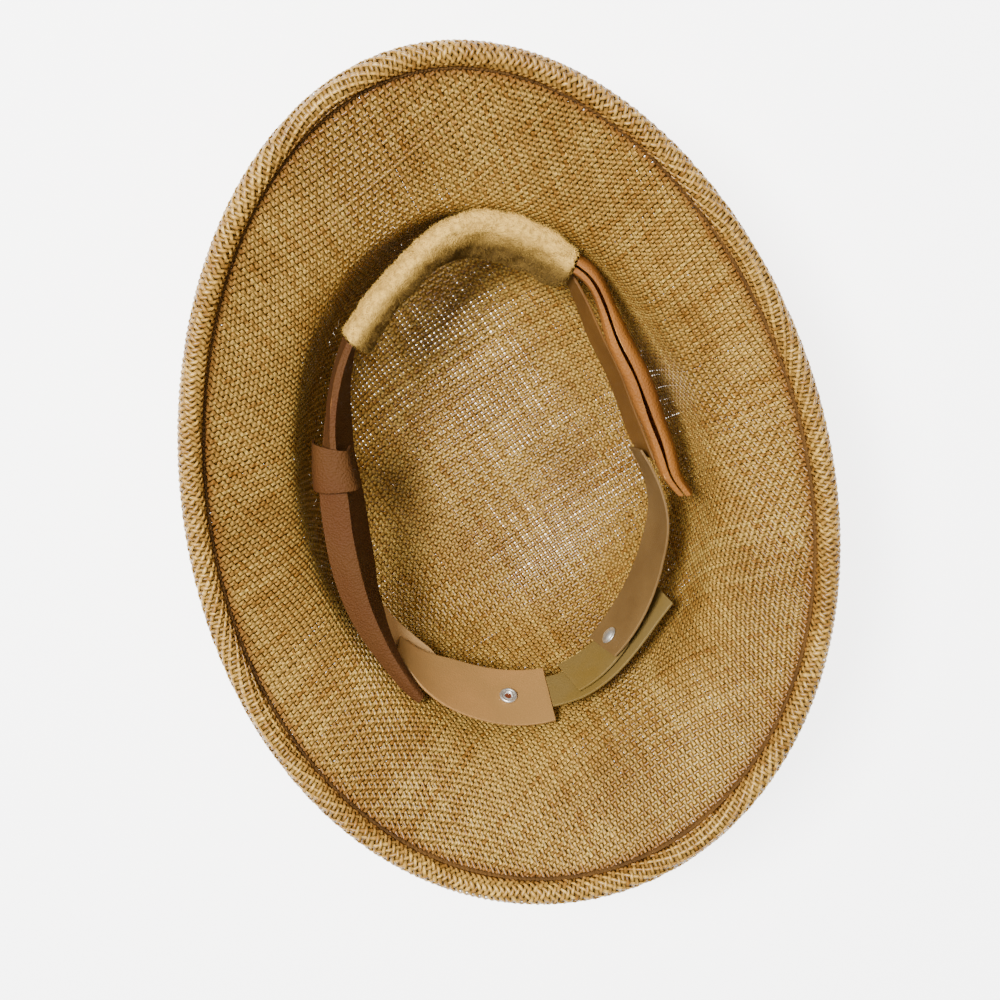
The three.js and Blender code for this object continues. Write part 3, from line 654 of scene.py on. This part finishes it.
# Finishes: colour unless the panel gives it, stain with its scale and amount, roughness, and the pores,
# creases and bump of the surface. worn is the colour of rubbed edges.
PLAIN_HIDE = {"base": None, "scale": 30.0, "amount": 0.6, "worn": None}
HIDES = {
    # Turned-in straw of the rolled edge's core and gathers, coloured as dark as straw in shade: painted shade
    "shaded_turned_straw": {
        "base": colour(86, 58, 24), "stain": colour(50, 32, 12),
        "roughness": 0.85, "pores": 700.0, "creases": 300.0, "bump": 0.8,
    },
    "nap": {
        "stain": colour(140, 108, 48), "scale": 480.0, "amount": 0.7,
        "roughness": 0.95, "pores": 1400.0, "creases": 500.0, "bump": 1.0,
    },
    "worn_leather": {
        "stain": colour(72, 38, 14), "worn": colour(150, 98, 50),
        "roughness": 0.72, "pores": 1100.0, "creases": 220.0, "bump": 0.9,
    },
    "golden_leather": {
        "base": colour(134, 84, 34), "stain": colour(110, 66, 28), "worn": colour(200, 146, 84),
        "roughness": 0.62, "pores": 1100.0, "creases": 220.0, "bump": 0.8,
    },
    # The four tan entries below are lighter and darker copies of one tan vinyl, one to a piece: painted light
    # and shade for how each piece lies in the light
    "smooth_tan": {
        "stain": colour(158, 112, 64), "scale": 26.0, "amount": 0.5, "worn": colour(214, 168, 116),
        "roughness": 0.42, "pores": 1500.0, "creases": 260.0, "bump": 0.2,
    },
    "shaded_tan": {
        "base": colour(108, 82, 46), "stain": colour(86, 62, 32),
        "roughness": 0.55, "pores": 1500.0, "creases": 260.0, "bump": 0.2,
    },
    "lit_tan": {
        "base": colour(206, 164, 108), "stain": colour(150, 110, 64),
        "roughness": 0.5, "pores": 1500.0, "creases": 260.0, "bump": 0.2,
    },
    "deep_shaded_tan": {
        "base": colour(104, 70, 30), "stain": colour(82, 52, 22),
        "roughness": 0.5, "pores": 1500.0, "creases": 260.0, "bump": 0.2,
    },
    "dull_khaki": {
        "stain": colour(104, 80, 28),
        "roughness": 0.5, "pores": 1200.0, "creases": 260.0, "bump": 0.3,
    },
    # A dark disc in the snap socket's hole: painted shade of the hole
    "hole_shade": {
        "base": colour(92, 44, 20), "stain": colour(40, 20, 10),
        "roughness": 0.8, "pores": 900.0, "creases": 300.0, "bump": 0.4,
    },
}
# Colour of the painted shade on the brow pad's inner face
INNER_SHADE = colour(112, 86, 38)


def hide_material(name, base=None):
    """A finish from the table: blotched colour with pores and creases, and paler edges if it has them."""
    hide = {**PLAIN_HIDE, **HIDES[name]}
    base = base or hide["base"]
    material, tree, shader = new_material(name, hide["roughness"])
    shader.inputs["Specular IOR Level"].default_value = 0.16
    stain = {"Stain": hide["stain"], "Scale": hide["scale"], "Amount": hide["amount"]}
    blotches = placed_group(tree, "Blotches", Base=base, **stain)
    grain = placed_group(tree, "Grain", Fine=hide["pores"], Coarse=hide["creases"], Creases=0.5)
    height = tree.nodes.new("ShaderNodeBump")
    height.inputs["Strength"].default_value = hide["bump"]
    height.inputs["Distance"].default_value = 0.0004
    link = tree.links.new
    link(blotches.outputs["Colour"], shader.inputs["Base Color"])
    if hide["worn"]:
        form = tree.nodes.new("ShaderNodeNewGeometry")
        rubbed = tree.nodes.new("ShaderNodeMapRange")
        rubbed.inputs["From Min"].default_value = 0.53
        rubbed.inputs["From Max"].default_value = 0.62
        edge = tree.nodes.new("ShaderNodeMix")
        edge.data_type = "RGBA"
        edge.inputs["B"].default_value = hide["worn"]
        link(form.outputs["Pointiness"], rubbed.inputs["Value"])
        link(rubbed.outputs["Result"], edge.inputs["Factor"])
        link(blotches.outputs["Colour"], edge.inputs["A"])
        link(edge.outputs["Result"], shader.inputs["Base Color"])
    link(grain.outputs["Height"], height.inputs["Height"])
    link(height.outputs["Normal"], shader.inputs["Normal"])
    return material


# Painted shade on the pad's inner face: sectors along it, and how the painted shade rises from the outer side
# inwards
SECTORS = 24
INNER_RISE = 2.4
INNER_START = 0.75


def mark_inner_face(piece):
    """Gives a piece of the band the attribute inner, from 0 at its outer side to 1 towards the hollow."""
    flat = np.empty(len(piece.data.vertices) * 3)
    piece.data.vertices.foreach_get("co", flat)
    points = flat.reshape(-1, 3)
    bearing = np.arctan2(points[:, 0], -points[:, 1])
    radius = np.hypot(points[:, 0], points[:, 1])
    sector = ((bearing - bearing.min()) / np.ptp(bearing) * (SECTORS - 0.01)).astype(int)
    inner = np.zeros(len(points))
    for k in range(SECTORS):
        there = sector == k
        if there.any():
            low, high = np.percentile(radius[there], (2, 98))
            depth = (high - radius[there]) / (high - low)
            inner[there] = np.clip(depth * INNER_RISE - INNER_START, 0, 1)
    layer = piece.data.attributes.new("inner", "FLOAT", "POINT")
    layer.data.foreach_set("value", inner)


def shade_inner_face(material, shade):
    """Paints shade: turns a hide's colour towards the shade colour where the attribute inner says."""
    tree = material.node_tree
    shader = next(node for node in tree.nodes if node.type == "BSDF_PRINCIPLED")
    old = shader.inputs["Base Color"].links[0].from_socket
    inner = tree.nodes.new("ShaderNodeAttribute")
    inner.attribute_name = "inner"
    mixed = tree.nodes.new("ShaderNodeMix")
    mixed.data_type = "RGBA"
    mixed.inputs["B"].default_value = shade
    tree.links.new(inner.outputs["Fac"], mixed.inputs["Factor"])
    tree.links.new(old, mixed.inputs["A"])
    tree.links.new(mixed.outputs["Result"], shader.inputs["Base Color"])


def steel_material():
    """Nickel-plated steel with fine scratches."""
    material, tree, shader = new_material("nickel", 0.38, 0.9)
    bright, dull = colour(236, 233, 224), colour(150, 144, 130)
    blotches = placed_group(tree, "Blotches", Base=bright, Stain=dull, Scale=400.0)
    tree.links.new(blotches.outputs["Colour"], shader.inputs["Base Color"])
    return material


def finish_piece(piece, node, material):
    """Gives a piece its material, parents it to the root body, and hides the solid or solids it stands for.
    """
    piece.data.materials.clear()
    piece.data.materials.append(material)
    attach(piece, "root")
    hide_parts(*([node] if isinstance(node, str) else node))


def select_only(piece):
    """Leaves one object selected and active."""
    bpy.ops.object.select_all(action="DESELECT")
    piece.select_set(True)
    bpy.context.view_layer.objects.active = piece


def apply_modifier(piece, kind, **values):
    """Adds a modifier with its values and applies it."""
    modifier = piece.modifiers.new(kind.title(), kind)
    for label, value in values.items():
        setattr(modifier, label, value)
    select_only(piece)
    bpy.ops.object.modifier_apply(modifier=modifier.name)


DOUBLES = 0.00001


def merged_copy(node, name):
    """A copy of a solid with its loose triangles merged into quads."""
    piece = bpy.data.objects.new(name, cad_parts[node].data.copy())
    bpy.context.scene.collection.objects.link(piece)
    select_only(piece)
    bpy.ops.object.mode_set(mode="EDIT")
    bpy.ops.mesh.select_all(action="SELECT")
    bpy.ops.mesh.remove_doubles(threshold=DOUBLES)
    bpy.ops.mesh.tris_convert_to_quads(face_threshold=math.radians(50), shape_threshold=math.radians(70))
    bpy.ops.object.mode_set(mode="OBJECT")
    return piece


def soft_copy(node, name, edge, levels):
    """A solid's copy with rounded edges and an even surface."""
    piece = merged_copy(node, name)
    sharp = {"limit_method": "ANGLE", "angle_limit": math.radians(55)}
    apply_modifier(piece, "BEVEL", width=edge * MM, segments=2, **sharp)
    apply_modifier(piece, "SUBSURF", levels=levels, render_levels=levels)
    piece.data.shade_smooth()
    return piece


def coordinates(piece):
    """The piece's points in millimetres."""
    flat = np.empty(len(piece.data.vertices) * 3, dtype=np.float32)
    piece.data.vertices.foreach_get("co", flat)
    return flat.reshape(-1, 3).astype(float) / MM


def place_points(piece, points):
    """Moves the piece's points, given in millimetres."""
    piece.data.vertices.foreach_set("co", (points * MM).astype(np.float32).ravel())
    piece.data.update()


def ruffle(piece, amount, length, seed):
    """Makes a piece's surface slightly uneven, by up to about amount in millimetres."""
    points = coordinates(piece)
    normals = np.array([vertex.normal for vertex in piece.data.vertices])
    place_points(piece, points + normals * (amount * waves(points, seed, length))[:, None])


SWELLING_FRAMES = 20
SWELLING_PRESSURE = 4


def plump(piece, voxel, reach):
    """Swells a padded piece by cloth simulation, moving no point further than reach in millimetres."""
    apply_modifier(piece, "REMESH", mode="VOXEL", voxel_size=voxel * MM)
    start = coordinates(piece)
    modifier = piece.modifiers.new("Cloth", "CLOTH")
    modifier.settings.use_pressure = True
    modifier.settings.uniform_pressure_force = SWELLING_PRESSURE
    modifier.settings.effector_weights.gravity = 0
    for step in range(SWELLING_FRAMES):
        bpy.context.scene.frame_set(step + 1)
    select_only(piece)
    bpy.ops.object.modifier_apply(modifier=modifier.name)
    bpy.context.scene.frame_set(1)
    moved = coordinates(piece) - start
    length = np.linalg.norm(moved, axis=1, keepdims=True)
    place_points(piece, start + moved * np.minimum(1, reach / np.maximum(length, 1e-6)))


FIBRE_HALF_WIDTH = 0.09
FIBRE_LEAN = 0.75


def nap(piece, name, count, length, seed):
    """Short loose fibres over a piece's surface, in millimetres, each a thin triangle."""
    random = np.random.default_rng(seed)
    piece.data.calc_loop_triangles()
    corners = np.array([triangle.vertices[:] for triangle in piece.data.loop_triangles])
    a, b, c = (coordinates(piece)[corners[:, k]] for k in range(3))
    cross = np.cross(b - a, c - a)
    area = np.linalg.norm(cross, axis=1)
    chosen = random.choice(len(area), count, p=area / area.sum())
    s, r = np.sqrt(random.random(count))[:, None], random.random(count)[:, None]
    root = a[chosen] * (1 - s) + b[chosen] * s * (1 - r) + c[chosen] * s * r
    lean = unit(unit(cross[chosen]) + FIBRE_LEAN * random.normal(size=(count, 3)))
    side = unit(np.cross(lean, random.normal(size=(count, 3)))) * FIBRE_HALF_WIDTH
    tip = root + lean * (length * random.uniform(0.4, 1.2, count))[:, None]
    points = np.stack([root - side, root + side, tip], axis=1).reshape(-1, 3)
    return mesh_object(name, points, np.arange(count * 3).reshape(-1, 3))


def seat(piece, node):
    """Moves a piece turned about Z to its solid's place, facing the middle of the hat."""
    points = coordinates(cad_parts[node])
    middle = (points.max(axis=0) + points.min(axis=0)) / 2
    facing = np.linalg.svd(points - points.mean(axis=0))[2][2]
    if facing @ (middle * (1, 1, 0)) > 0:
        facing = -facing
    depth = (points - middle) @ facing
    base = (middle + facing * depth.min()) * MM
    turn = Vector((0, 0, 1)).rotation_difference(Vector(facing)).to_matrix().to_4x4()
    piece.data.transform(Matrix.Translation(Vector(base)) @ turn)
    piece.data.update()


def turned(name, profile, steps):
    """A closed form turned about Z from radius and height pairs in millimetres."""
    mesh = bpy.data.meshes.new(name)
    points = [(radius * MM, 0, height * MM) for radius, height in profile]
    mesh.from_pydata(points, [(k, k + 1) for k in range(len(points) - 1)], [])
    piece = bpy.data.objects.new(name, mesh)
    bpy.context.scene.collection.objects.link(piece)
    select_only(piece)
    bpy.ops.object.mode_set(mode="EDIT")
    bpy.ops.mesh.select_all(action="SELECT")
    bpy.ops.mesh.spin(steps=steps, angle=2 * math.pi, center=(0, 0, 0), axis=(0, 0, 1))
    bpy.ops.mesh.select_all(action="SELECT")
    bpy.ops.mesh.remove_doubles(threshold=DOUBLES)
    bpy.ops.mesh.normals_make_consistent(inside=False)
    bpy.ops.object.mode_set(mode="OBJECT")
    piece.data.shade_smooth()
    return piece


def size_setting(label, says, value):
    """A length on the panel, in metres."""
    return bpy.props.FloatProperty(name=label, description=says, default=value, unit="LENGTH")


def colour_setting(label, says, value):
    """A colour on the panel."""
    return bpy.props.FloatVectorProperty(name=label, description=says, default=value, size=4, subtype="COLOR")


class StrawSettings(bpy.types.PropertyGroup):
    """Sizes and colours of the weave"""

    pitch: size_setting("Spacing", "Between the middles of two strands", 0.0025)
    width: size_setting("Strand width", "Across a strand", 0.00172)
    light: colour_setting("Light straw", "Colour of the palest strands", colour(255, 210, 108))
    dark: colour_setting("Dark straw", "Colour of the darkest strands", colour(180, 120, 42))


class BandSettings(bpy.types.PropertyGroup):
    """Colours of the headband"""

    leather: colour_setting("Leather", "Colour of the right sweatband and the keeper", colour(74, 44, 15))
    tan: colour_setting("Tan", "Colour of the right snap strap", colour(136, 101, 57))
    khaki: colour_setting("Khaki", "Colour of the adjuster straps", colour(108, 88, 48))
    pad: colour_setting("Pad", "Colour of the brow pad", colour(208, 168, 82))


class HAT_OT_weave_shell(bpy.types.Operator):
    """Weaves the crown and brim from two layers of straw strands"""

    bl_idname = "hat.weave_shell"
    bl_label = "Weave the shell"

    def execute(self, context):
        straw = context.scene.hat_straw
        settings = {"pitch": straw.pitch / MM, "width": straw.width / MM}
        material = straw_material("woven_straw", tuple(straw.light), tuple(straw.dark), STRAW_STAIN)
        # Painted shade: the rolled edge gets the darker copy of the straw
        shaded_edging = straw_material("rolled_straw_shaded", ROLL_SHADED_LIGHT, ROLL_SHADED_DARK, ROLL_SHADED_STAIN)
        nodes = ["straw_crown", "straw_brim"]
        inner = Cloth(rolled=False)
        outer = Cloth(rolled=True)
        on_roll, off_roll = roll_tests()
        groove = rim_lines()["groove"]
        jobs = [
            ("inner_across", inner, 0, INNER_LAYER, 11, None, nodes),
            ("inner_along", inner, 1, INNER_LAYER, 12, None, nodes),
            ("outer_across", outer, 0, OUTER_LAYER, 13, off_roll, nodes),
            ("outer_along", outer, 1, OUTER_LAYER, 14, off_roll, nodes),
            ("roll_across", outer, 0, ROLL_LAYER, 13, on_roll, "rolled_edge"),
            ("roll_along", outer, 1, ROLL_LAYER, 14, on_roll, "rolled_edge"),
        ]
        for name, cloth, family, layer, seed, within, node in jobs:
            points, links, tint, lift = strands(cloth, settings, family, layer, seed, within)
            # groove: painted shade along the groove inside the rolled edge, strongest there and fading out
            # from it
            groove_shade = np.clip(GROOVE_DEPTH - distance_to_line(points, groove) / GROOVE_REACH, 0, 1)
            # tint is each strand's own tone, and lift drives the painted shade where a strand dives under the
            # next
            attributes = [("tint", tint), ("lift", lift), ("groove", groove_shade)]
            piece = mesh_object(f"straw_{name}", points, strand_faces(links), attributes)
            finish_piece(piece, node, shaded_edging if node == "rolled_edge" else material)
        return {"FINISHED"}


# The rolled edge's filling: its thickness under the weave and the gathers beside it, in millimetres
CORE_DEPTH = 1.4
GATHER_RADIUS = 1.6
GATHER_SWING = 0.3
GATHER_STEPS = 3.2
TUBE_SIDES = 10


class HAT_OT_roll_core(bpy.types.Operator):
    """Fills the rolled edge with its wire and turned-in straw"""

    bl_idname = "hat.roll_core"
    bl_label = "Fill the rolled edge"

    def execute(self, context):
        lines = rim_lines()
        count = len(lines["centre"])
        random = np.random.default_rng(21)
        core = tube("roll_core", lines["centre"], np.full(count, ROLL_RADIUS - CORE_DEPTH), TUBE_SIDES)
        phase = np.cumsum(random.uniform(0.7, 1.3, count)) * (2 * math.pi / GATHER_STEPS)
        radii = GATHER_RADIUS + GATHER_SWING * np.sin(phase)
        gathers = tube("roll_gathers", lines["groove"], radii, TUBE_SIDES)
        # Painted shade: the core and the gathers are coloured as dark as straw in shade
        material = hide_material("shaded_turned_straw")
        finish_piece(core, "rolled_edge", material)
        finish_piece(gathers, "rolled_edge", material)
        return {"FINISHED"}


class HAT_OT_brow_pad(bpy.types.Operator):
    """Makes the folded brow pad of napped cloth over foam"""

    bl_idname = "hat.brow_pad"
    bl_label = "Make the brow pad"

    def execute(self, context):
        band = context.scene.hat_band
        piece = merged_copy("brow_pad", "brow_pad_soft")
        plump(piece, voxel=1.1, reach=0.7)
        ruffle(piece, amount=0.45, length=9, seed=3)
        piece.data.shade_smooth()
        fibres = nap(piece, "brow_pad_nap", count=36000, length=1.3, seed=4)
        material = hide_material("nap", tuple(band.pad))
        shade_inner_face(material, INNER_SHADE)
        for part in (piece, fibres):
            mark_inner_face(part)
            finish_piece(part, "brow_pad", material)
        return {"FINISHED"}


class HAT_OT_sweatbands(bpy.types.Operator):
    """Makes the leather sweatbands and the keeper"""

    bl_idname = "hat.sweatbands"
    bl_label = "Make the sweatbands"

    def execute(self, context):
        dark = hide_material("worn_leather", tuple(context.scene.hat_band.leather))
        golden = hide_material("golden_leather")
        for node in ("sweatband_left", "sweatband_right", "leather_keeper"):
            piece = soft_copy(node, f"{node}_soft", edge=0.5, levels=2)
            ruffle(piece, amount=0.25, length=24, seed=6)
            finish_piece(piece, node, golden if node == "sweatband_left" else dark)
        return {"FINISHED"}


class HAT_OT_straps(bpy.types.Operator):
    """Makes the tan bands, the snap straps and the adjuster straps"""

    bl_idname = "hat.straps"
    bl_label = "Make the straps"

    def execute(self, context):
        band = context.scene.hat_band
        khaki = hide_material("dull_khaki", tuple(band.khaki))
        # Each tan vinyl piece gets its own lighter or darker copy of the tan: painted light and shade
        shades = {
            "snap_strap_left": ("tan_vinyl", hide_material("shaded_tan")),
            "tan_band_left": ("tan_vinyl", hide_material("deep_shaded_tan")),
            "tan_band_right": ("tan_vinyl", hide_material("lit_tan")),
            "snap_strap_right": ("tan_vinyl", hide_material("smooth_tan", tuple(band.tan))),
            "adjuster_strap_inner": ("khaki_vinyl", khaki),
            "adjuster_strap_outer": ("khaki_vinyl", khaki),
        }
        for node, (slot, shade) in shades.items():
            piece = soft_copy(node, f"{node}_soft", edge=0.3, levels=2)
            finish_piece(piece, node, shade)
        return {"FINISHED"}


# Radius and height of the snap's halves, from the strap outwards
CAP_PROFILE = [
    (0, 0), (3.9, 0), (4, 0.3), (3.75, 0.55), (3.3, 0.6),
    (3.05, 0.9), (2.4, 1.45), (1.3, 1.85), (0, 2),
]
SOCKET_PROFILE = [
    (0, 0.1), (1.5, 0.1), (1.65, 0.6), (1.95, 1.0), (2.3, 0.85), (2.6, 0.7),
    (2.95, 1.0), (3.4, 1.2), (3.85, 0.9), (4, 0.35), (3.9, 0), (0, 0),
]
HOLE_SHADE_PROFILE = [(0, 0.2), (1.5, 0.2)]


class HAT_OT_snaps(bpy.types.Operator):
    """Makes the snap's cap and socket"""

    bl_idname = "hat.snaps"
    bl_label = "Make the snaps"

    def execute(self, context):
        material = steel_material()
        for node, profile in (("snap_cap", CAP_PROFILE), ("snap_socket", SOCKET_PROFILE)):
            piece = turned(f"{node}_bright", profile, steps=48)
            seat(piece, node)
            finish_piece(piece, node, material)
        # Painted shade: a dark disc at the bottom of the socket's hole
        hole_shade = turned("snap_socket_hole_shade", HOLE_SHADE_PROFILE, steps=24)
        seat(hole_shade, "snap_socket")
        finish_piece(hole_shade, "snap_socket", hide_material("hole_shade"))
        return {"FINISHED"}


# The stage: lights in metres and watts, and the photo's camera as its place, its axes and its lens
LIGHTS = {
    "window": {"place": (0.38, -0.44, 1.3), "size": 0.3, "power": 52},
    "ceiling": {"place": (-0.1, -0.2, 1.7), "size": 1.2, "power": 8},
}
LIGHT_TARGET = (0, 0, 0.1)
WORLD_LIGHT = 0.26
FLOOR_SIZE = 6
FLOOR_GLOW = 4.2
EYE = (0.0198, -0.1434, 0.7368)
EYE_RIGHT = (-0.9718, 0.2228, 0.0776)
EYE_UP = (-0.2347, -0.9466, -0.2209)
EYE_BACK = (0.0243, -0.2329, 0.9722)
LENS = 56
SENSOR = 36


def area_light(name, place, size, power):
    """A square soft light aimed at the hat, in metres and watts."""
    light = bpy.data.lights.new(name, "AREA")
    light.size = size
    light.energy = power
    lamp = bpy.data.objects.new(name, light)
    lamp.location = place
    lamp.rotation_euler = (Vector(LIGHT_TARGET) - Vector(place)).to_track_quat("-Z", "Y").to_euler()
    bpy.context.scene.collection.objects.link(lamp)


class HAT_OT_stage(bpy.types.Operator):
    """Sets the floor, the lights and the camera"""

    bl_idname = "hat.stage"
    bl_label = "Set the stage"

    def execute(self, context):
        bpy.ops.mesh.primitive_plane_add(size=FLOOR_SIZE, location=(0, 0, 0))
        floor = context.object
        floor.name = "floor"
        material, tree, shader = new_material("pale_floor", 0.9)
        shader.inputs["Base Color"].default_value = (0.86, 0.86, 0.86, 1)
        shader.inputs["Emission Color"].default_value = (1, 1, 1, 1)
        shader.inputs["Emission Strength"].default_value = FLOOR_GLOW
        floor.data.materials.append(material)
        for name, light in LIGHTS.items():
            area_light(name, **light)
        world = bpy.data.worlds.new("studio")
        world.use_nodes = True
        background = world.node_tree.nodes["Background"]
        background.inputs["Color"].default_value = (1, 1, 1, 1)
        background.inputs["Strength"].default_value = WORLD_LIGHT
        context.scene.world = world
        camera = bpy.data.cameras.new("view")
        camera.lens = LENS
        camera.sensor_width = SENSOR
        eye = bpy.data.objects.new("view", camera)
        turn = Matrix((EYE_RIGHT, EYE_UP, EYE_BACK)).transposed()
        eye.matrix_world = Matrix.Translation(Vector(EYE)) @ turn.to_4x4()
        context.scene.collection.objects.link(eye)
        context.scene.camera = eye
        return {"FINISHED"}


class HAT_PT_panel(bpy.types.Panel):
    """The hat's operators and settings"""

    bl_idname = "HAT_PT_panel"
    bl_label = "Pith helmet"
    bl_space_type = "VIEW_3D"
    bl_region_type = "UI"
    bl_category = "Hat"

    def draw(self, context):
        for group in (context.scene.hat_straw, context.scene.hat_band):
            for label in group.bl_rna.properties.keys():
                if label not in ("rna_type", "name"):
                    self.layout.prop(group, label)
        for operator in OPERATORS:
            self.layout.operator(operator.bl_idname)


SETTINGS = (StrawSettings, BandSettings)
OPERATORS = (
    HAT_OT_weave_shell,
    HAT_OT_roll_core,
    HAT_OT_brow_pad,
    HAT_OT_sweatbands,
    HAT_OT_straps,
    HAT_OT_snaps,
    HAT_OT_stage,
)


def register():
    """Registers the settings, the operators and the panel."""
    for kind in (*SETTINGS, *OPERATORS, HAT_PT_panel):
        bpy.utils.register_class(kind)
    bpy.types.Scene.hat_straw = bpy.props.PointerProperty(type=StrawSettings)
    bpy.types.Scene.hat_band = bpy.props.PointerProperty(type=BandSettings)


def unregister():
    """Takes them away again."""
    del bpy.types.Scene.hat_band
    del bpy.types.Scene.hat_straw
    for kind in reversed((*SETTINGS, *OPERATORS, HAT_PT_panel)):
        bpy.utils.unregister_class(kind)


def main():
    """Builds the hat and its stage."""
    register()
    bpy.ops.hat.weave_shell()
    bpy.ops.hat.roll_core()
    bpy.ops.hat.brow_pad()
    bpy.ops.hat.sweatbands()
    bpy.ops.hat.straps()
    bpy.ops.hat.snaps()
    bpy.ops.hat.stage()


if __name__ == "__main__":
    main()
